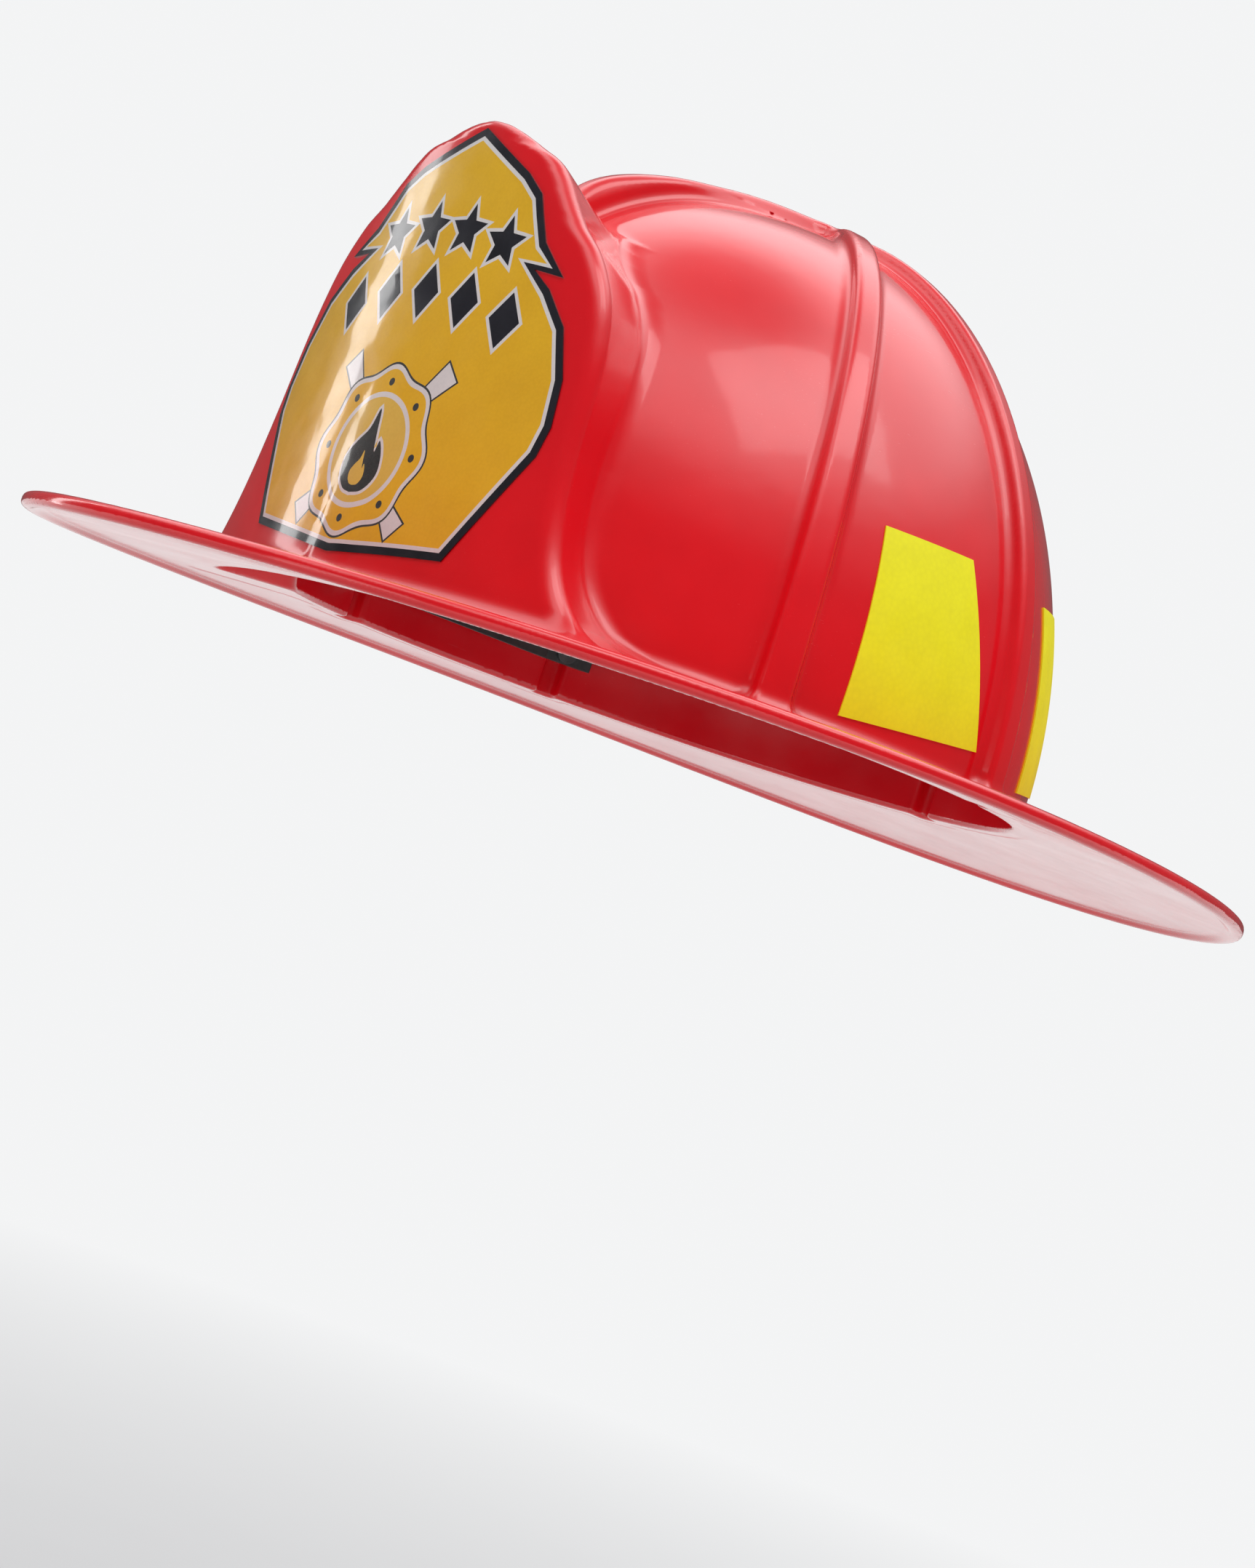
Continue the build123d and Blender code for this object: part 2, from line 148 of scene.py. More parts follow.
def rib_star(p, inset, bearings):
    """Upright wedges running out from the top axis."""
    x, y, z = p.T
    share = (z - RIB_LOW_Z) / (RIB_TOP_Z - RIB_LOW_Z)
    half = (RIB_WIDTH_BASE + (RIB_WIDTH_TOP - RIB_WIDTH_BASE) * share) / 2 - inset
    star = np.full(len(x), 1e3)
    for bearing in bearings:
        s, c = math.sin(math.radians(bearing)), math.cos(math.radians(bearing))
        outward = x * s - (y - TOP_AXIS_Y) * c
        across = x * c + (y - TOP_AXIS_Y) * s
        star = np.minimum(star, np.maximum(np.abs(across) - half, -outward))
    return star


def shell_skin(p):
    """The plain crown, which the side stickers are first drawn on."""
    return crown_distance(p, 0)


def rib_distance(p, offset, inset):
    """The ribs and the boss where they meet, cut to offset above the crown."""
    star = rib_star(p, inset, [0, 180] + SIDE_BEARINGS)
    boss = np.hypot(p[:, 0], p[:, 1] - TOP_AXIS_Y) - BOSS_RADIUS + inset
    boss = np.maximum(boss, BOSS_FOOT_Z - p[:, 2])
    return smooth_max(smooth_min(star, boss, BOSS_FILLET), crown_distance(p, offset), RIB_EDGE)


def smooth_curve(points, samples=24):
    """Catmull-Rom curve through the points."""
    pts = np.array(points, float)
    pts = np.vstack([2 * pts[0] - pts[1], pts, 2 * pts[-1] - pts[-2]])
    t = np.linspace(0, 1, samples, endpoint=False)[:, None]
    out = []
    for a, b, c, d in zip(pts, pts[1:], pts[2:], pts[3:]):
        bend = (2 * a - 5 * b + 4 * c - d) * t**2 + (3 * b - a - 3 * c + d) * t**3
        out.append(0.5 * (2 * b + (c - a) * t + bend))
    return np.vstack(out + [pts[-2:-1]])


COMB_CURVE = smooth_curve(sorted(COMB_CREST))
COMB_SLOPE = np.gradient(COMB_CURVE[:, 1], COMB_CURVE[:, 0])


def comb_distance(p, inset):
    """The narrow fin over the front of the crown, under its crest line."""
    x, y, z = p.T
    crest = np.interp(y, COMB_CURVE[:, 0], COMB_CURVE[:, 1]) - inset
    slope = np.interp(y, COMB_CURVE[:, 0], COMB_SLOPE)
    over = (z - crest) / np.sqrt(1 + slope**2)
    sides = np.abs(x) - COMB_WIDTH / 2 + inset
    ends = np.maximum(y - TOP_AXIS_Y, COMB_FOOT_Y - y)
    return smooth_max(smooth_max(over, sides, COMB_EDGE), ends, COMB_END_BLEND)


SHIELD_OGEE = [(0, 1), (0.2, 0.985), (0.36, 0.95), (0.5, 0.885), (0.62, 0.77), (0.7, 0.64), (0.77, 0.55),
               (0.83, 0.48), (0.875, 0.41), (0.91, 0.3), (0.96, 0.155), (1.0, 0.03)]
OGEE = smooth_curve(SHIELD_OGEE)
OGEE_SLOPE = np.gradient(OGEE[:, 1], OGEE[:, 0])


def shield_distance(p, inset):
    """The shield grows wider and taller from its root to its face; its foot spreads and then flares."""
    x, y, z = p.T
    depth = np.clip((y - SHIELD_ROOT_Y) / (SHIELD_Y - 6 - SHIELD_ROOT_Y), -0.2, 1.1)
    width = SHIELD_ROOT_HALF + (SHIELD_FACE_HALF - SHIELD_ROOT_HALF) * depth
    tip = SHIELD_ROOT_TIP + (SHIELD_FACE_TIP - SHIELD_ROOT_TIP) * depth
    flare = FOOT_FLARE if inset == 0 else CAVITY_FLARE
    low = np.exp(-(np.maximum(z, -4) - FOOT_Z) / FLARE_FADE)
    spread = FOOT_SPREAD * np.clip(1 - (z - FOOT_Z) / (SHIELD_EDGE_Z - FOOT_Z), 0, 1.1)
    rise = tip - SHIELD_EDGE_Z
    share = np.maximum((z - SHIELD_EDGE_Z) / rise, 0)
    half = width * np.interp(share, OGEE[:, 0], OGEE[:, 1]) + flare * low + spread
    slope = width * np.interp(share, OGEE[:, 0], OGEE_SLOPE) / rise
    slope = np.where(share > 0, slope, -FOOT_SPREAD / (SHIELD_EDGE_Z - FOOT_Z)) - flare * low / FLARE_FADE
    side = (np.abs(x) - half) / np.sqrt(1.15 + slope**2)
    side = smooth_max(side, (z - tip) * 0.9, SHIELD_TOP_EDGE)
    rel_y = (y - SHIELD_AXIS_Y) * math.cos(SHIELD_LEAN) - z * math.sin(SHIELD_LEAN)
    face = np.hypot(x, rel_y) - SHIELD_RADIUS
    scoop_y, scoop_z, scoop_radius = SCOOP
    scoop = scoop_radius - np.hypot(y - scoop_y, z - scoop_z)
    body = smooth_max(side + inset, face + inset, SHIELD_ROUNDING - inset)
    body = smooth_max(body, scoop + inset, SCOOP_EDGE)
    return smooth_max(body, y - SHIELD_ROOT_Y, 1)


def brim_level(p):
    return -(p[:, 0] ** 2 + p[:, 1] ** 2) / (2 * BRIM_RADIUS)


def brim_edge(p):
    """Distance beyond the brim's outline, in plan."""
    x, y, _ = p.T
    a = np.where(y < 0, BRIM_FRONT, BRIM_REAR)
    u, v = x / BRIM_HALF_WIDTH, y / a
    q = np.hypot(u, v) + 1e-9
    return (q - 1) / np.hypot(u / BRIM_HALF_WIDTH / q, v / a / q)


def shell_distance(p):
    """The whole moulding: outer form minus the cavity, bars bridging the ribs, and the brim's rolled edge."""
    z = p[:, 2]
    above_brim = z - brim_level(p)
    edge = brim_edge(p)
    skin = crown_distance(p, 0)
    outer = smooth_min(skin, rib_distance(p, RIB_HEIGHT, 0), RIB_FILLET)
    outer = smooth_min(outer, comb_distance(p, 0), RIB_FILLET)
    outer = smooth_min(outer, shield_distance(p, 0), SHIELD_FILLET)
    plate = smooth_max(np.abs(above_brim + BRIM_THICK / 2) - BRIM_THICK / 2, edge, 1)
    outer = smooth_min(outer, plate, BRIM_FILLET)
    outer = smooth_max(outer, -above_brim - BRIM_THICK, 0.8)
    lining = crown_distance(p, -WALL)
    inner = smooth_min(lining, rib_distance(p, RIB_HEIGHT - WALL, WALL), INNER_FILLET)
    inner = smooth_min(inner, comb_distance(p, WALL), INNER_FILLET)
    inner = smooth_min(inner, shield_distance(p, WALL + 0.3), 2)
    shell = smooth_max(outer, -inner, 0.9)
    bar = np.abs(z - sum(BRIDGE_Z) / 2) - (BRIDGE_Z[1] - BRIDGE_Z[0]) / 2
    bar = np.maximum(bar, np.maximum(skin, -lining))
    bar = np.maximum(bar, rib_star(p, 0, SIDE_BEARINGS))
    shell = smooth_min(shell, bar, 0.6)
    bead = np.hypot(edge + BEAD_RADIUS, above_brim + BRIM_THICK / 2) - BEAD_RADIUS
    return smooth_min(shell, bead, 2)


# --- surface nets ---------------------------------------------------------------------------------
CELL = 0.8
GRID_MARGIN = 4.0
CORNERS = np.array([(i, j, k) for i in (0, 1) for j in (0, 1) for k in (0, 1)])


def in_chunks(field, points, size=400000):
    return np.concatenate([field(points[i:i + size]) for i in range(0, len(points), size)])


def gradient(field, points, step=0.02):
    axes = np.eye(3) * step
    parts = [in_chunks(field, points + axis) - in_chunks(field, points - axis) for axis in axes]
    return np.stack(parts, 1) / (2 * step)


def mesh_from_field(field, low, high, cell, coarse=5):
    """Quads where the field crosses zero, found block by block near the surface."""
    big = cell * coarse
    counts = np.ceil((high - low) / big).astype(int)
    blocks = np.indices(counts).reshape(3, -1).T
    centres = low + (blocks + 0.5) * big
    near = np.abs(in_chunks(field, centres)) < big * 1.35
    blocks = blocks[near]
    inside = np.indices((coarse,) * 3).reshape(3, -1).T
    cells = (blocks[:, None] * coarse + inside[None]).reshape(-1, 3)
    shape = counts * coarse + 1
    strides = np.array([shape[1] * shape[2], shape[2], 1])
    corner_ids = (cells @ strides)[:, None] + (CORNERS @ strides)[None]
    unique_ids, where = np.unique(corner_ids, return_inverse=True)
    grid = np.stack(np.unravel_index(unique_ids, shape), 1)
    values = in_chunks(field, low + grid * cell)[where.reshape(corner_ids.shape)]
    crossed = (values.min(1) < 0) & (values.max(1) >= 0)
    cells, values, corner_ids = cells[crossed], values[crossed], corner_ids[crossed]
    total = np.zeros((len(cells), 3))
    hits = np.zeros(len(cells))
    for i in range(8):
        for j in range(i + 1, 8):
            if np.abs(CORNERS[i] - CORNERS[j]).sum() != 1:
                continue
            a, b = values[:, i], values[:, j]
            cut = (a < 0) != (b < 0)
            t = np.where(cut, a / np.where(cut, a - b, 1), 0)[:, None]
            total += np.where(cut[:, None], CORNERS[i] + t * (CORNERS[j] - CORNERS[i]), 0)
            hits += cut
    points = low + (cells + total / hits[:, None]) * cell
    cell_ids = cells @ strides
    order = np.argsort(cell_ids)
    sorted_ids = cell_ids[order]

    def vertex_of(ids):
        place = np.minimum(np.searchsorted(sorted_ids, ids), len(sorted_ids) - 1)
        return np.where(sorted_ids[place] == ids, order[place], -1)

    quads = []
    for axis in range(3):
        end = {0: 4, 1: 2, 2: 1}[axis]
        a, b = values[:, 0], values[:, end]
        cut = (a < 0) != (b < 0)
        first, second = [strides[k] for k in range(3) if k != axis]
        base = cell_ids[cut]
        ring = [base, base - first, base - first - second, base - second]
        quad = np.stack([vertex_of(r) for r in ring], 1)
        turned = (a[cut] < 0) == (axis == 1)
        quad[turned] = quad[turned][:, ::-1]
        quads.append(quad[(quad >= 0).all(1)])
    return points, np.vstack(quads)


def settle(field, points, quads, rounds=3):
    """Evens out the vertices, and puts each exactly on the surface."""
    ends = np.vstack([quads[:, [0, 1]], quads[:, [1, 2]], quads[:, [2, 3]], quads[:, [3, 0]]])
    degree = np.bincount(ends.ravel(), minlength=len(points))
    for turn in range(rounds):
        if turn:
            near = points[ends[:, ::-1]].reshape(-1, 3)
            mean = np.stack([np.bincount(ends.ravel(), near[:, k], len(points)) for k in range(3)], 1)
            mean /= degree[:, None]
            slope = gradient(field, points)
            slope /= np.linalg.norm(slope, axis=1)[:, None] + 1e-9
            move = (mean - points) * 0.5
            points = points + move - slope * (move * slope).sum(1)[:, None]
        for _ in range(2):
            slope = gradient(field, points)
            size = (slope * slope).sum(1) + 1e-9
            step = in_chunks(field, points)[:, None] * slope / size[:, None]
            points = points - np.clip(step, -0.5, 0.5)
    return points


def new_piece(name, points, faces, body, nodes=()):
    """A mesh object in the frame, from millimetre points."""
    mesh = bpy.data.meshes.new(name)
    mesh.from_pydata((np.asarray(points) * MM).tolist(), [], [list(map(int, f)) for f in faces])
    mesh.update()
    piece = bpy.data.objects.new(name, mesh)
    bpy.context.scene.collection.objects.link(piece)
    mesh.polygons.foreach_set("use_smooth", [True] * len(mesh.polygons))
    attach(piece, body)
    if nodes:
        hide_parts(*nodes)
    return piece


def build_shell():
    cell = CELL
    low = shell_low - GRID_MARGIN
    high = shell_high + GRID_MARGIN
    points, quads = mesh_from_field(shell_distance, low, high, cell)
    points = settle(shell_distance, points, quads)
    shell = new_piece("moulded_shell", points, quads, "helmet", ["shell"])
    normals = gradient(shell_distance, points)
    normals /= np.linalg.norm(normals, axis=1)[:, None] + 1e-9
    shell.data.normals_split_custom_set_from_vertices(normals.tolist())
    shell.data.materials.append(MATERIALS["shell_red"])


# --- stickers ---------------------------------------------------------------------------------------
# Outlines are (across, up) on the sheet, with up measured from the brim plane.
STICKER = 0.35
STICKER_STEPS = 26
DRAWING_REACH = 75.0
PRESS_ROUNDS = 30
FACE_TILT = Matrix.Rotation(-SHIELD_LEAN, 3, "X")
BLACK_EDGE = 1.7
WHITE_LINE = 0.9
LABEL_RIGHT = [(34.5, 6), (48, 31.5), (49, 38), (47.5, 48), (43, 58.5), (36, 65.5), (30.2, 69), (38.4, 68.4),
               (30.5, 75), (26.8, 81), (24.5, 85), (18.8, 89)]
LABEL_OUTLINE = [(0, 2.5), *LABEL_RIGHT, (0, 98), *[(-u, v) for u, v in reversed(LABEL_RIGHT)]]
STAR_ROW = (-19.2, -6.4, 6.4, 19.2)
STAR_HEIGHT = 75.4
DIAMOND_ROW = (-27.2, -13.6, 0, 13.6, 27.2)
DIAMOND_HEIGHT = 61.0
ROW_ARCH = 0.005
SHAPE_EDGE = 0.8
EMBLEM = (0.5, 25.2)
LOBES = 8
LOBE_DEPTH = 0.9
LOBED_RINGS = (("label_grey", 18.9), ("label_white", 18.4), ("label_gold", 17.3))
PLAIN_RINGS = (("label_white", 13.0), ("label_pale_gold", 11.8))
DOT_RING = 15.3
DOT_RADIUS = 0.9
OUTLINE_STEP = 2.5
GRID_STEP = 3.0
REFLECTORS = {"side": (90.0, [(-27.5, 2.5), (14, 6.3), (0.5, 44.3), (-25.7, 43.3)]),
              "rear": (135.0, [(-21.5, 2.5), (20.5, 5), (8, 44), (-20, 43.3)])}
LABEL_INKS = ["label_black", "label_white", "label_gold", "label_pale_gold", "label_grey"]


def settled_on_shell(points, lift):
    """The points moved to the shell's skin, and their copies raised by lift."""
    for _ in range(6):
        slope = gradient(shell_distance, points)
        size = (slope * slope).sum(1) + 1e-9
        points = points - in_chunks(shell_distance, points)[:, None] * slope / size[:, None]
    normals = gradient(shell_distance, points)
    normals /= np.linalg.norm(normals, axis=1)[:, None]
    return points, points + normals * lift


def thin_solid(lower, upper, faces):
    """Faces and points of a closed sheet from its lower and upper skins; faces wind upwards."""
    count = len(lower)
    directed = {(a, b) for f in faces for a, b in zip(f, (*f[1:], f[0]))}
    rim = [(a, b) for a, b in directed if (b, a) not in directed]
    walls = [(b, a, a + count, b + count) for a, b in sorted(rim)]
    under = [tuple(reversed(f)) for f in faces]
    over = [tuple(i + count for i in f) for f in faces]
    return np.vstack([lower, upper]), under + over + walls


def inset(outline, distance):
    """The outline, counterclockwise, moved inwards, with its sharpest corners cut short."""
    pts = np.array(outline, float)
    ahead = np.roll(pts, -1, 0) - pts
    ahead /= np.linalg.norm(ahead, axis=1)[:, None]
    behind = np.roll(ahead, 1, 0)
    inward = np.stack([-(ahead + behind)[:, 1], (ahead + behind)[:, 0]], 1)
    inward /= np.linalg.norm(inward, axis=1)[:, None] + 1e-9
    cosine = np.maximum(-inward[:, 0] * ahead[:, 1] + inward[:, 1] * ahead[:, 0], 0.45)
    return pts + inward * (distance / cosine)[:, None]


def ring_shape(centre, radius, lobes=0, depth=0.0, count=120):
    angles = np.linspace(0, 2 * math.pi, count, endpoint=False)
    r = radius + depth * np.cos(lobes * angles)
    return np.stack([centre[0] + r * np.cos(angles), centre[1] + r * np.sin(angles)], 1)


def star_shape(centre, radius):
    angles = math.pi / 2 + np.arange(10) * math.pi / 5
    r = np.where(np.arange(10) % 2 == 0, radius, radius * 0.46)
    return np.stack([centre[0] + r * np.cos(angles), centre[1] + r * np.sin(angles)], 1)


def diamond_shape(centre, half_width, half_height):
    corners = [(half_width, 0), (0, half_height), (-half_width, 0), (0, -half_height)]
    return np.array(centre) + np.array(corners)


def flame_shape(centre, size):
    """Plain flame: round foot, one leaning tip and a smaller tongue."""
    points = [(0, -1), (0.42, -0.9), (0.68, -0.5), (0.62, -0.05), (0.42, 0.3), (0.36, 0.02), (0.22, 0.42),
              (0.02, 1.05), (-0.12, 0.55), (-0.42, 0.2), (-0.66, -0.2), (-0.6, -0.62), (-0.32, -0.92)]
    return np.array(centre) + smooth_curve(points + points[:1], 5)[:-1] * size


def bar_shape(centre, angle, inner, outer, half_width):
    """Short bar pointing away from the centre."""
    along = np.array([math.cos(angle), math.sin(angle)])
    across = np.array([-along[1], along[0]])
    root = half_width * 0.6
    corners = [(inner, -root), (outer, -half_width), (outer, half_width), (inner, root)]
    return np.array([np.array(centre) + along * r + across * w for r, w in corners])


def label_art():
    """(ink, outline) from the bottom layer to the top one."""
    art = [("label_black", np.array(LABEL_OUTLINE, float)), ("label_white", inset(LABEL_OUTLINE, BLACK_EDGE)),
           ("label_gold", inset(LABEL_OUTLINE, BLACK_EDGE + WHITE_LINE))]
    for u in STAR_ROW:
        star = star_shape((u, STAR_HEIGHT - ROW_ARCH * u * u), 6.0)
        art += [("label_white", inset(star, -SHAPE_EDGE)), ("label_black", star)]
    for u in DIAMOND_ROW:
        diamond = diamond_shape((u, DIAMOND_HEIGHT - ROW_ARCH * u * u), 4.4, 6.2)
        art += [("label_white", inset(diamond, -SHAPE_EDGE)), ("label_black", diamond)]
    for angle, reach in ((47, 26.5), (133, 26.5), (221, 24), (319, 24)):
        bar = bar_shape(EMBLEM, math.radians(angle), 16.5, reach, 2.8)
        art += [("label_grey", inset(bar, -0.45)), ("label_white", bar)]
    art += [(name, ring_shape(EMBLEM, radius, LOBES, LOBE_DEPTH)) for name, radius in LOBED_RINGS]
    art += [(name, ring_shape(EMBLEM, radius)) for name, radius in PLAIN_RINGS]
    for k in range(LOBES):
        angle = 2 * math.pi * k / LOBES
        spot = (EMBLEM[0] + DOT_RING * math.cos(angle), EMBLEM[1] + DOT_RING * math.sin(angle))
        art.append(("label_grey", ring_shape(spot, DOT_RADIUS, count=16)))
    flame = flame_shape((EMBLEM[0], EMBLEM[1] - 0.4), 9.2)
    art += [("label_white", inset(flame, -0.7)), ("label_grey", flame),
            ("label_pale_gold", flame_shape((EMBLEM[0], EMBLEM[1] - 4.2), 3.8))]
    return art


def points_inside(points, outline):
    """Even-odd test."""
    x, y = points.T
    hit = np.zeros(len(points), bool)
    for (x0, y0), (x1, y1) in zip(outline, np.roll(outline, -1, 0)):
        crosses = (y0 > y) != (y1 > y)
        if y0 != y1:
            hit ^= crosses & (x < x0 + (y - y0) * (x1 - x0) / (y1 - y0))
    return hit


def subdivided(outline, longest):
    """The outline with extra points, so that a long edge can follow a curved face."""
    out = []
    for a, b in zip(outline, np.roll(outline, -1, 0)):
        steps = max(1, math.ceil(np.linalg.norm(b - a) / longest))
        out += [a + (b - a) * k / steps for k in range(steps)]
    return np.array(out)


def build_label():
    """Printed sticker as one closed sheet, its inks kept apart as faces of different materials."""
    art = label_art()
    points, edges = [], []
    for _, outline in art:
        ring = subdivided(outline, OUTLINE_STEP)
        first = len(points)
        points += [Vector(p) for p in ring]
        edges += [(first + k, first + (k + 1) % len(ring)) for k in range(len(ring))]
    across, up = np.meshgrid(np.arange(-48, 49, GRID_STEP), np.arange(4, 98, GRID_STEP))
    grid = np.stack([across, up], -1).reshape(-1, 2)
    points += [Vector(p) for p in grid[points_inside(grid, inset(LABEL_OUTLINE, 0.6))]]
    flat, _, faces, *_ = delaunay_2d_cdt(points, edges, [], 0, 1e-4)
    flat = np.array([p[:] for p in flat])
    faces = np.array([f for f in faces if len(f) == 3])
    centres = flat[faces].mean(1)
    ink = np.full(len(faces), -1)
    for name, outline in art:
        ink[points_inside(centres, outline)] = LABEL_INKS.index(name)
    faces, ink = faces[ink >= 0], ink[ink >= 0]
    used, faces = np.unique(faces, return_inverse=True)
    flat, faces = flat[used], faces.reshape(-1, 3)
    angle = flat[:, 0] / SHIELD_RADIUS
    height = flat[:, 1] - SHIELD_RADIUS * math.sin(SHIELD_LEAN)
    drawn = np.stack([SHIELD_RADIUS * np.sin(angle), -SHIELD_RADIUS * np.cos(angle), height], 1)
    drawn = drawn @ np.array(FACE_TILT).T + (0, SHIELD_AXIS_Y, 0)
    lower, upper = settled_on_shell(drawn, STICKER)
    points, solid = thin_solid(lower, upper, [tuple(f) for f in faces.tolist()])
    label = new_piece("shield_label", points, solid, "helmet", ["front_label"])
    for name in LABEL_INKS:
        label.data.materials.append(MATERIALS[name])
    rim = [LABEL_INKS.index("label_black")] * (len(solid) - 2 * len(ink))
    label.data.polygons.foreach_set("material_index", ink.tolist() * 2 + rim)
    label.data.set_sharp_from_angle(angle=math.radians(40))


def build_reflector(name, node, bearing, corners):
    """Trapezoid sticker laid on the crown: drawn on an upright plane, then pressed back on to the skin."""
    steps = STICKER_STEPS
    t = np.linspace(0, 1, steps)
    across, up = np.meshgrid(t, t)
    a, b, c, d = np.array(corners, float)
    across, up = across[..., None], up[..., None]
    flat = ((a * (1 - across) + b * across) * (1 - up) + (d * (1 - across) + c * across) * up).reshape(-1, 2)
    s, k = math.sin(math.radians(bearing)), math.cos(math.radians(bearing))
    outward = np.array([s, -k, 0])
    drawn = np.stack([flat[:, 0] * k, TOP_AXIS_Y + flat[:, 0] * s, flat[:, 1]], 1) + outward * DRAWING_REACH
    for _ in range(PRESS_ROUNDS):
        drawn = drawn - in_chunks(shell_skin, drawn)[:, None] * outward * 0.9
    lower, upper = settled_on_shell(drawn, STICKER)
    cell = np.arange(steps - 1)
    row, column = [grid.ravel() for grid in np.meshgrid(cell, cell, indexing="ij")]
    first = row * steps + column
    faces = np.stack([first, first + 1, first + 1 + steps, first + steps], 1)
    points, solid = thin_solid(lower, upper, [tuple(f) for f in faces.tolist()])
    sticker = new_piece(name, points, solid, "helmet", [node])
    sticker.data.materials.append(MATERIALS["reflector_yellow"])
    sticker.data.set_sharp_from_angle(angle=math.radians(40))


# --- materials --------------------------------------------------------------------------------------
class Recipe:
    """A node material: a Principled surface whose inputs are filled by small procedural chains."""

    def __init__(self, name):
        self.material = bpy.data.materials.new(name)
        self.material.use_nodes = True
        self.tree = self.material.node_tree
        self.surface = self.tree.nodes["Principled BSDF"]
        self.place = self.add("ShaderNodeTexCoord").outputs["Object"]

    def add(self, kind, **values):
        node = self.tree.nodes.new(kind)
        for key, value in values.items():
            socket = node.inputs.get(key.replace("_", " "))
            if socket is None:
                setattr(node, key.lower(), value)
            elif isinstance(value, bpy.types.NodeSocket):
                self.tree.links.new(value, socket)
            else:
                socket.default_value = value
        return node

    def stretched(self, scale, turn=(0, 0, 0)):
        """The place, turned and scaled along its axes."""
        node = self.add("ShaderNodeMapping", Vector=self.place, Scale=scale)
        node.inputs["Rotation"].default_value = turn
        return node.outputs["Vector"]

    def noise(self, size_mm, detail=3.0, rough=0.55, vector=None):
        """Noise between about 0.3 and 0.7 whose features are size_mm across."""
        node = self.add("ShaderNodeTexNoise", Vector=vector or self.place, Scale=1 / (size_mm * MM))
        node.inputs["Detail"].default_value = detail
        node.inputs["Roughness"].default_value = rough
        return node.outputs["Fac"]

    def remap(self, value, low, high, out_low, out_high):
        node = self.add("ShaderNodeMapRange", Value=value)
        for key, number in (("From Min", low), ("From Max", high), ("To Min", out_low), ("To Max", out_high)):
            node.inputs[key].default_value = number
        return node.outputs["Result"]

    def maths(self, operation, a, b):
        node = self.add("ShaderNodeMath")
        node.operation = operation
        for socket, value in zip(node.inputs, (a, b)):
            if isinstance(value, bpy.types.NodeSocket):
                self.tree.links.new(value, socket)
            else:
                socket.default_value = value
        return node.outputs["Value"]

    def mix(self, share, first, second):
        node = self.add("ShaderNodeMix")
        node.data_type = "RGBA"
        self.tree.links.new(share, node.inputs["Factor"])
        for key, colour in ((6, first), (7, second)):
            if isinstance(colour, bpy.types.NodeSocket):
                self.tree.links.new(colour, node.inputs[key])
            else:
                node.inputs[key].default_value = (*colour, 1)
        return node.outputs[2]

    def bump(self, height, depth_mm, normal=None):
        node = self.add("ShaderNodeBump", Height=height, Distance=depth_mm * MM)
        if normal is not None:
            self.tree.links.new(normal, node.inputs["Normal"])
        return node.outputs["Normal"]

    def soft_edges(self, radius_mm):
        node = self.add("ShaderNodeBevel", samples=4)
        node.inputs["Radius"].default_value = radius_mm * MM
        return node.outputs["Normal"]

    def edge_wear(self):
        """0 on flat ground, 1 on the sharpest outward edges."""
        return self.remap(self.add("ShaderNodeNewGeometry").outputs["Pointiness"], 0.53, 0.62, 0, 1)

    def set(self, **values):
        for key, value in values.items():
            socket = self.surface.inputs[key.replace("_", " ")]
            if isinstance(value, bpy.types.NodeSocket):
                self.tree.links.new(value, socket)
            else:
                socket.default_value = value
        return self.material


def scratches(r, width_mm, length_mm, turn, amount):
    """Fine straight hairlines, in patches; 1 on a line."""
    lines = r.noise(1.0, 2, 0.5, r.stretched((1 / width_mm, 1 / length_mm, 1 / width_mm), turn))
    patches = r.remap(r.noise(34, 2), 0.5, 0.62, 0, 1)
    return r.maths("MULTIPLY", r.remap(lines, 0.72 - amount, 0.76 - amount, 0, 1), patches)


def shell_red():
    r = Recipe("shell_red")
    flow = r.remap(r.noise(42, 3), 0.35, 0.65, 0, 1)
    colour = r.mix(flow, (0.74, 0.003, 0.010), (0.84, 0.005, 0.013))
    wear = r.maths("MULTIPLY", r.edge_wear(), r.remap(r.noise(5, 4), 0.4, 0.6, 0.25, 1))
    colour = r.mix(r.maths("MULTIPLY", wear, 0.35), colour, (0.70, 0.09, 0.08))
    lines = r.maths("MAXIMUM", scratches(r, 0.25, 16, (0.3, 0.2, 0.6), 0.0),
                    scratches(r, 0.2, 12, (1.1, 0.5, 2.1), 0.0))
    smear = r.remap(r.noise(16, 4), 0.35, 0.7, 0.15, 0.23)
    rough = r.maths("ADD", smear, r.maths("MULTIPLY", r.maths("MAXIMUM", lines, wear), 0.2))
    waves = r.bump(r.noise(9, 2), 0.05)
    peel = r.bump(r.noise(1.3, 2), 0.006, waves)
    cut = r.bump(r.maths("MULTIPLY", lines, -1), 0.006, peel)
    return r.set(Base_Color=colour, Roughness=rough, Normal=cut, IOR=1.49, Specular_IOR_Level=0.5,
                 Coat_Weight=0.6, Coat_Roughness=0.08, Coat_Normal=waves,
                 Subsurface_Weight=0.08, Subsurface_Radius=(0.006, 0.0005, 0.0005), Subsurface_Scale=0.5)


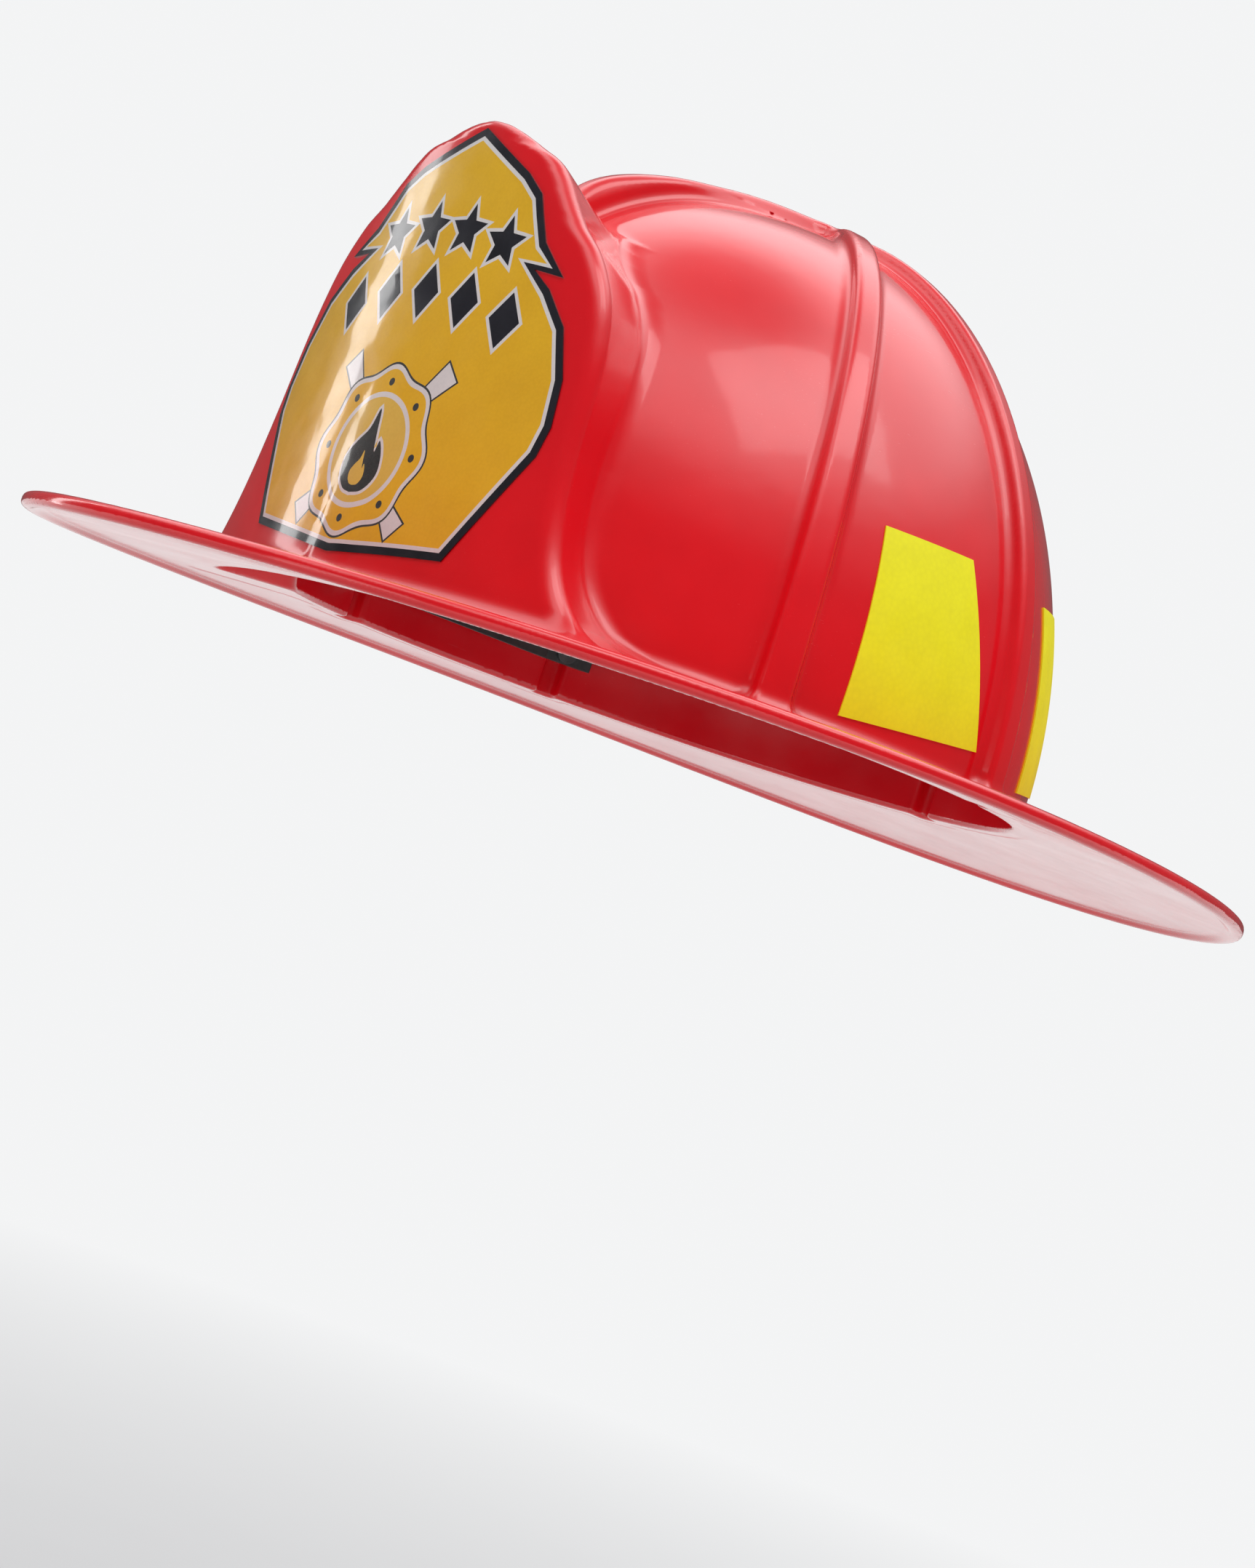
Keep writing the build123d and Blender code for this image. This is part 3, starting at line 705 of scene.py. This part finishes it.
def label_ink(name, colour, second):
    """Printed ink under clear vinyl: a faint screen of dots, dust and a rippled gloss."""
    r = Recipe(name)
    screen = r.add("ShaderNodeTexVoronoi", Vector=r.place, Scale=1 / (0.7 * MM)).outputs["Distance"]
    tone = r.maths("ADD", r.maths("MULTIPLY", screen, 0.35), r.noise(13, 3))
    ink = r.mix(r.remap(tone, 0.45, 0.95, 0, 1), colour, second)
    rough = r.remap(r.noise(7, 4), 0.35, 0.7, 0.16, 0.27)
    ripple = r.bump(r.noise(17, 2), 0.22)
    grain = r.bump(r.noise(1.6, 3), 0.01, ripple)
    return r.set(Base_Color=ink, Roughness=rough, Normal=grain, Coat_Weight=0.8, Coat_Roughness=0.05,
                 Coat_Normal=ripple, Specular_IOR_Level=0.5)


def reflector_yellow():
    """Fluorescent sheet with a fine honeycomb under a matt face, and a faint painted glow (emission) that
    keeps it bright under any light.
    """
    r = Recipe("reflector_yellow")
    cells = r.add("ShaderNodeTexVoronoi", Vector=r.place, Scale=1 / (1.1 * MM)).outputs["Distance"]
    tone = r.maths("ADD", r.maths("MULTIPLY", cells, 0.4), r.noise(11, 3))
    colour = r.mix(r.remap(tone, 0.45, 1.0, 0, 1), (0.84, 0.79, 0.008), (0.77, 0.72, 0.007))
    rough = r.remap(r.noise(6, 4), 0.35, 0.7, 0.42, 0.6)
    fine = r.bump(cells, 0.02, r.bump(r.noise(14, 2), 0.08))
    # the emission is a painted glow: the sticker gives off light of its own, which no lamp casts on it
    return r.set(Base_Color=colour, Roughness=rough, Normal=fine, Specular_IOR_Level=0.35,
                 Emission_Color=colour, Emission_Strength=0.12)


def moulded_black(name, grey, rough_low, rough_high, grain_mm):
    """Black plastic from a tool with a fine spark-eroded grain, rubbed smoother along its edges."""
    r = Recipe(name)
    wear = r.maths("MULTIPLY", r.edge_wear(), r.remap(r.noise(3, 3), 0.4, 0.6, 0.3, 1))
    patches = r.remap(r.noise(22, 3), 0.35, 0.65, 0, 1)
    tint = r.mix(patches, (grey * 0.8,) * 3, (grey * 1.2, grey * 1.2, grey * 1.3))
    colour = r.mix(r.maths("MULTIPLY", wear, 0.5), tint, (grey * 4,) * 3)
    rough = r.maths("SUBTRACT", r.remap(r.noise(8, 4), 0.35, 0.7, rough_low, rough_high),
                    r.maths("MULTIPLY", wear, 0.12))
    edges = r.soft_edges(0.35)
    sink = r.bump(r.noise(11, 2), 0.06, edges)
    grain = r.bump(r.noise(grain_mm, 3, 0.7), 0.012, sink)
    return r.set(Base_Color=colour, Roughness=rough, Normal=grain, Specular_IOR_Level=0.45)


def pad_knit():
    """Brushed tricot: rows of small loops with loose fibre over them."""
    r = Recipe("pad_knit")
    columns = r.add("ShaderNodeTexWave", Vector=r.place, Scale=330, Distortion=0.6)
    columns.bands_direction = "DIAGONAL"
    rows = r.add("ShaderNodeTexWave", Vector=r.place, Scale=300, Distortion=0.8)
    rows.bands_direction = "Z"
    loops = r.maths("MULTIPLY", columns.outputs["Fac"], rows.outputs["Fac"])
    fibre = r.noise(0.5, 3, 0.7)
    colour = r.mix(r.maths("MULTIPLY", loops, r.remap(r.noise(9, 3), 0.35, 0.65, 0.5, 1)),
                   (0.022, 0.022, 0.025), (0.075, 0.077, 0.085))
    relief = r.bump(fibre, 0.08, r.bump(loops, 0.16))
    return r.set(Base_Color=colour, Roughness=0.92, Normal=relief, Sheen_Weight=0.5, Sheen_Roughness=0.45,
                 Sheen_Tint=(0.55, 0.56, 0.6, 1), Specular_IOR_Level=0.2)


def pad_thread():
    """Twisted polyester thread."""
    r = Recipe("pad_thread")
    twist = r.add("ShaderNodeTexWave", Vector=r.stretched((1, 1, 1), (0.5, 0.4, 0.7)), Scale=900)
    colour = r.mix(twist.outputs["Fac"], (0.10, 0.10, 0.11), (0.22, 0.22, 0.24))
    return r.set(Base_Color=colour, Roughness=r.remap(r.noise(2, 3), 0.35, 0.65, 0.5, 0.7),
                 Normal=r.bump(twist.outputs["Fac"], 0.05), Sheen_Weight=0.2)


MATERIALS = {
    "shell_red": shell_red(),
    "label_black": label_ink("label_black", (0.006, 0.006, 0.010), (0.014, 0.014, 0.022)),
    "label_white": label_ink("label_white", (0.76, 0.75, 0.73), (0.70, 0.69, 0.68)),
    "label_gold": label_ink("label_gold", (0.84, 0.50, 0.018), (0.77, 0.44, 0.015)),
    "label_pale_gold": label_ink("label_pale_gold", (0.78, 0.53, 0.09), (0.72, 0.48, 0.08)),
    "label_grey": label_ink("label_grey", (0.035, 0.038, 0.036), (0.055, 0.06, 0.056)),
    "reflector_yellow": reflector_yellow(),
    "liner_black": moulded_black("liner_black", 0.018, 0.36, 0.5, 0.7),
    "stud_black": moulded_black("stud_black", 0.028, 0.24, 0.36, 0.5),
    "pad_knit": pad_knit(),
    "pad_thread": pad_thread(),
}
CAD_FINISH = {
    "liner_black": ["headband", "nape_strap", "cradle_strap_lower", "cradle_strap_upper",
                    "key_left_front", "key_right_front", "key_left_rear", "key_right_rear"],
    "stud_black": ["size_studs", "cradle_rivet", "key_rivets"],
}


def finish_cad_nodes():
    for name, nodes in CAD_FINISH.items():
        for node in nodes:
            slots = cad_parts[node].data.materials
            slots.clear()
            slots.append(MATERIALS[name])


# --- sweat pad --------------------------------------------------------------------------------------
BAND_BEND_Y = -16.0
BAND_HALF_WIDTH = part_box("headband")[1].x / MM
BAND_REACH = BAND_BEND_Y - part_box("headband")[0].y / MM
PAD_BACK = 1.6
PAD_FRONT = 4.3
PAD_SWELL = 1.1
PAD_PANELS = 9
PANEL_STEPS = 14
SECTION_STEPS = 14
SEAM_PULL = 0.45
EDGE_STITCHES = 76
EDGE_MARGIN = 2.2
SEAM_STITCHES = 7
THREAD = 0.55


def pad_place(angle, depth, height):
    """A point in the pad: angle round the brow from dead ahead, depth in from the band's outer face."""
    across = (BAND_HALF_WIDTH - depth) * math.sin(angle)
    return across, BAND_BEND_Y - (BAND_REACH - depth) * math.cos(angle), height


def pad_section(steps, height_low, height_high):
    """Closed loop of (depth, height, pinned): flat against the band, rounded towards the brow."""
    middle = (height_low + height_high) / 2
    half = (height_high - height_low) / 2
    loop = []
    for k in range(steps):
        share = (k + 0.5) / steps
        loop.append((PAD_BACK, height_low + 2 * half * share, True))
    for k in range(steps + 1):
        angle = math.pi * k / steps
        swell = math.sin(angle) ** 0.4
        depth = PAD_BACK + 0.5 + (PAD_FRONT - PAD_BACK - 0.5) * swell
        loop.append((depth, middle + (half - 0.3 * (1 - swell)) * math.cos(angle), k < 2 or k > steps - 2))
    return loop


def build_pad():
    """Quilted pad: the panels between the seams are blown up as cloth, and the seams are then stitched."""
    low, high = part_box("brow_pad")
    end = math.acos((BAND_BEND_Y - high.y / MM) / (BAND_REACH - PAD_BACK))
    columns = PAD_PANELS * PANEL_STEPS + 1
    loop = pad_section(SECTION_STEPS, low.z / MM + 0.3, high.z / MM - 0.3)
    points, pinned = [], []
    for k in range(columns):
        angle = -end + 2 * end * k / (columns - 1)
        seam = k % PANEL_STEPS == 0
        at_end = min(k, columns - 1 - k) == 0
        for depth, height, held in loop:
            pulled = PAD_BACK + (depth - PAD_BACK) * (SEAM_PULL if seam else 1)
            points.append(pad_place(angle, PAD_BACK + (depth - PAD_BACK) * 0.3 if at_end else pulled, height))
            pinned.append(held or seam)
    n = len(loop)
    faces = [(k * n + i, k * n + (i + 1) % n, (k + 1) * n + (i + 1) % n, (k + 1) * n + i)
             for k in range(columns - 1) for i in range(n)]
    faces += [tuple(reversed(range(n))), tuple(range((columns - 1) * n, columns * n))]
    pad = new_piece("brow_pad_cushion", points, faces, "helmet", ["brow_pad"])
    pad.data.materials.append(MATERIALS["pad_knit"])
    inflate(pad, pinned)
    pad.modifiers.new("smooth", "SUBSURF").levels = 1
    pad.modifiers["smooth"].render_levels = 1
    return end


def inflate(pad, pinned):
    """Blows the loose points outwards as cloth, keeps that shape within PAD_SWELL, and drops the modifier."""
    start = np.array([v.co for v in pad.data.vertices])
    group = pad.vertex_groups.new(name="pinned")
    group.add([i for i, held in enumerate(pinned) if held], 1.0, "REPLACE")
    cloth = pad.modifiers.new("cloth", "CLOTH")
    cloth.settings.vertex_group_mass = "pinned"
    cloth.settings.use_pressure = True
    cloth.settings.uniform_pressure_force = 4
    cloth.settings.shrink_min = -0.08
    cloth.settings.effector_weights.gravity = 0
    cloth.collision_settings.use_collision = False
    for number in range(1, 21):
        bpy.context.scene.frame_set(number)
    blown = pad.evaluated_get(bpy.context.evaluated_depsgraph_get())
    moved = np.array([v.co for v in blown.data.vertices]) - start
    length = np.linalg.norm(moved, axis=1)[:, None]
    moved *= np.minimum(1, PAD_SWELL * MM / np.maximum(length, 1e-9))
    pad.modifiers.remove(cloth)
    pad.data.vertices.foreach_set("co", (start + moved).ravel())
    bpy.context.scene.frame_set(1)


def thread_run(points, inward, thickness):
    """Closed little capsules, one per stitch, along the points."""
    verts, faces = [], []
    for a, b, out in zip(points[:-1], points[1:], inward):
        along = (b - a).normalized()
        side = along.cross(out).normalized()
        rings = [(0.10, 0.25), (0.22, 0.9), (0.5, 1.15), (0.78, 0.9), (0.90, 0.25)]
        first = len(verts)
        for share, swell in rings:
            middle = a.lerp(b, share) + out * (0.35 * math.sin(math.pi * share))
            for k in range(6):
                angle = math.pi * k / 3
                turned = side * math.cos(angle) + out * math.sin(angle)
                verts.append(middle + turned * thickness * swell / 2)
        for j in range(len(rings) - 1):
            for k in range(6):
                i, m = first + j * 6 + k, first + j * 6 + (k + 1) % 6
                faces.append((i, m, m + 6, i + 6))
        faces.append(tuple(reversed(range(first, first + 6))))
        last = first + 6 * (len(rings) - 1)
        faces.append(tuple(range(last, last + 6)))
    return verts, faces


def build_stitching(end):
    """Thread along the pad's two long edges and down each seam."""
    low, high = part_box("brow_pad")
    runs = []
    for height in (low.z / MM + EDGE_MARGIN, high.z / MM - EDGE_MARGIN):
        angles = [-end + 2 * end * k / EDGE_STITCHES for k in range(1, EDGE_STITCHES)]
        runs.append([(angle, PAD_FRONT + 0.15, height) for angle in angles])
    seam_depth = PAD_BACK + (PAD_FRONT - PAD_BACK) * SEAM_PULL + 0.3
    for seam in range(1, PAD_PANELS):
        angle = -end + 2 * end * seam / PAD_PANELS
        heights = [low.z / MM + 3.2 + 2.1 * k for k in range(SEAM_STITCHES + 1)]
        runs.append([(angle, seam_depth, height) for height in heights])
    verts, faces = [], []
    for run in runs:
        points = [Vector(pad_place(*place)) for place in run]
        inward = [(Vector(pad_place(angle, depth + 1, height)) - Vector(pad_place(angle, depth, height)))
                  for angle, depth, height in run[:-1]]
        more, more_faces = thread_run(points, inward, THREAD)
        faces += [tuple(i + len(verts) for i in f) for f in more_faces]
        verts += more
    thread = new_piece("brow_pad_stitching", [v[:] for v in verts], faces, "helmet")
    thread.data.materials.append(MATERIALS["pad_thread"])


# --- camera, floor and light ------------------------------------------------------------------------
CAMERA_AZIMUTH = 50.58
CAMERA_ELEVATION = -2.27
CAMERA_ROLL = 18.32
CAMERA_DISTANCE = 0.7910
CAMERA_AIM = Vector((0, 0.0054, -0.0214))
LENS_MM = 80.67
FLOOR_Z = -0.36
FLOOR_HALF = 40.0
PALE = (0.90, 0.905, 0.91)


def look_at(obj, place, target):
    obj.location = place
    obj.rotation_mode = "QUATERNION"
    obj.rotation_quaternion = (Vector(target) - Vector(place)).to_track_quat("-Z", "Y")


def on_sphere(azimuth, elevation, distance, centre=(0, 0, 0)):
    """Azimuth 0 is dead ahead of the helmet, 90 over the wearer's left."""
    a, e = math.radians(azimuth), math.radians(elevation)
    out = Vector((math.sin(a) * math.cos(e), -math.cos(a) * math.cos(e), math.sin(e)))
    return Vector(centre) + out * distance


def make_camera():
    camera = bpy.data.objects.new("camera", bpy.data.cameras.new("camera"))
    bpy.context.scene.collection.objects.link(camera)
    camera.data.lens = LENS_MM
    camera.data.clip_start = 0.05
    look_at(camera, on_sphere(CAMERA_AZIMUTH, CAMERA_ELEVATION, CAMERA_DISTANCE, CAMERA_AIM), CAMERA_AIM)
    turn = Matrix.Rotation(math.radians(CAMERA_ROLL), 3, "Z").to_quaternion()
    camera.rotation_quaternion = camera.rotation_quaternion @ turn
    bpy.context.scene.camera = camera


def make_floor():
    """Pale floor that melts into the background, and is clear from below, so the liner can be seen."""
    mesh = bpy.data.meshes.new("floor")
    corners = [(x * FLOOR_HALF, y * FLOOR_HALF, FLOOR_Z) for x, y in ((-1, -1), (1, -1), (1, 1), (-1, 1))]
    mesh.from_pydata(corners, [], [(0, 1, 2, 3)])
    floor = bpy.data.objects.new("floor", mesh)
    bpy.context.scene.collection.objects.link(floor)
    r = Recipe("floor_pale")
    r.set(Base_Color=r.mix(r.noise(60, 3), (0.44, 0.44, 0.44), (0.46, 0.46, 0.46)), Roughness=0.9)
    far = r.add("ShaderNodeVectorMath", Vector=r.place)
    far.operation = "LENGTH"
    fade = r.remap(far.outputs["Value"], 0.3, 1.6, 0, 1)
    glow = r.add("ShaderNodeEmission", Color=(*PALE, 1))
    blend = r.add("ShaderNodeMixShader")
    r.tree.links.new(fade, blend.inputs[0])
    r.tree.links.new(r.surface.outputs[0], blend.inputs[1])
    r.tree.links.new(glow.outputs[0], blend.inputs[2])
    clear = r.add("ShaderNodeBsdfTransparent")
    one_way = r.add("ShaderNodeMixShader")
    r.tree.links.new(r.add("ShaderNodeNewGeometry").outputs["Backfacing"], one_way.inputs[0])
    r.tree.links.new(blend.outputs[0], one_way.inputs[1])
    r.tree.links.new(clear.outputs[0], one_way.inputs[2])
    r.tree.links.new(one_way.outputs[0], r.tree.nodes["Material Output"].inputs[0])
    mesh.materials.append(r.material)


SKY_LEVELS = [(0.0, 0.03), (0.40, 0.05), (0.56, 0.18), (0.68, 0.55), (0.84, 0.68), (0.91, 0.55), (0.97, 0.28),
              (1.0, 0.2)]
SKY_STRENGTH = 3.0


def make_world():
    """Soft room: pale to the camera; in reflections dark near the floor and brightest half-way up."""
    world = bpy.data.worlds.new("room")
    world.use_nodes = True
    bpy.context.scene.world = world
    tree = world.node_tree
    background = tree.nodes["Background"]
    place = tree.nodes.new("ShaderNodeTexCoord")
    split = tree.nodes.new("ShaderNodeSeparateXYZ")
    ramp = tree.nodes.new("ShaderNodeValToRGB")
    rays = tree.nodes.new("ShaderNodeLightPath")
    pick = tree.nodes.new("ShaderNodeMix")
    pick.data_type = "RGBA"
    tree.links.new(place.outputs["Generated"], split.inputs[0])
    tree.links.new(split.outputs["Z"], ramp.inputs[0])
    stops = ramp.color_ramp.elements
    stops.remove(stops[1])
    for height, level in SKY_LEVELS:
        stop = stops.new(height)
        stop.color = (level, level, level * 1.02, 1)
    stops.remove(stops[0])
    tree.links.new(rays.outputs["Is Camera Ray"], pick.inputs["Factor"])
    tree.links.new(ramp.outputs["Color"], pick.inputs[6])
    pick.inputs[7].default_value = (*[level / SKY_STRENGTH for level in PALE], 1)
    background.inputs["Strength"].default_value = SKY_STRENGTH
    tree.links.new(pick.outputs[2], background.inputs["Color"])


def make_softbox(name, place, target, width, height, watts):
    light = bpy.data.lights.new(name, "AREA")
    light.shape = "RECTANGLE"
    light.size = width
    light.size_y = height
    light.energy = watts
    softbox = bpy.data.objects.new(name, light)
    bpy.context.scene.collection.objects.link(softbox)
    look_at(softbox, place, target)


def make_lights():
    make_softbox("window_left", on_sphere(98, 58, 1.6), (0, 0, 0.05), 1.2, 0.7, 4)
    make_softbox("strip_right", on_sphere(-67, 14, 1.3), (0, 0, 0.05), 0.16, 1.0, 1.5)
    make_softbox("fill_front", on_sphere(25, -4, 2.2), (0, 0, 0.05), 1.2, 0.8, 3)


def main():
    build_shell()
    build_label()
    for side, word in ((1, "left"), (-1, "right")):
        for place, (bearing, corners) in REFLECTORS.items():
            # on the wearer's right the corners are mirrored, and their order keeps the sheet facing out
            placed = corners if side > 0 else [(-t, z) for t, z in corners[1::-1] + corners[:1:-1]]
            build_reflector(f"sticker_{word}_{place}", f"reflector_{word}_{place}", bearing * side, placed)
    build_stitching(build_pad())
    finish_cad_nodes()
    make_camera()
    make_floor()
    make_world()
    make_lights()
    bpy.context.scene.view_settings.view_transform = "Standard"


main()
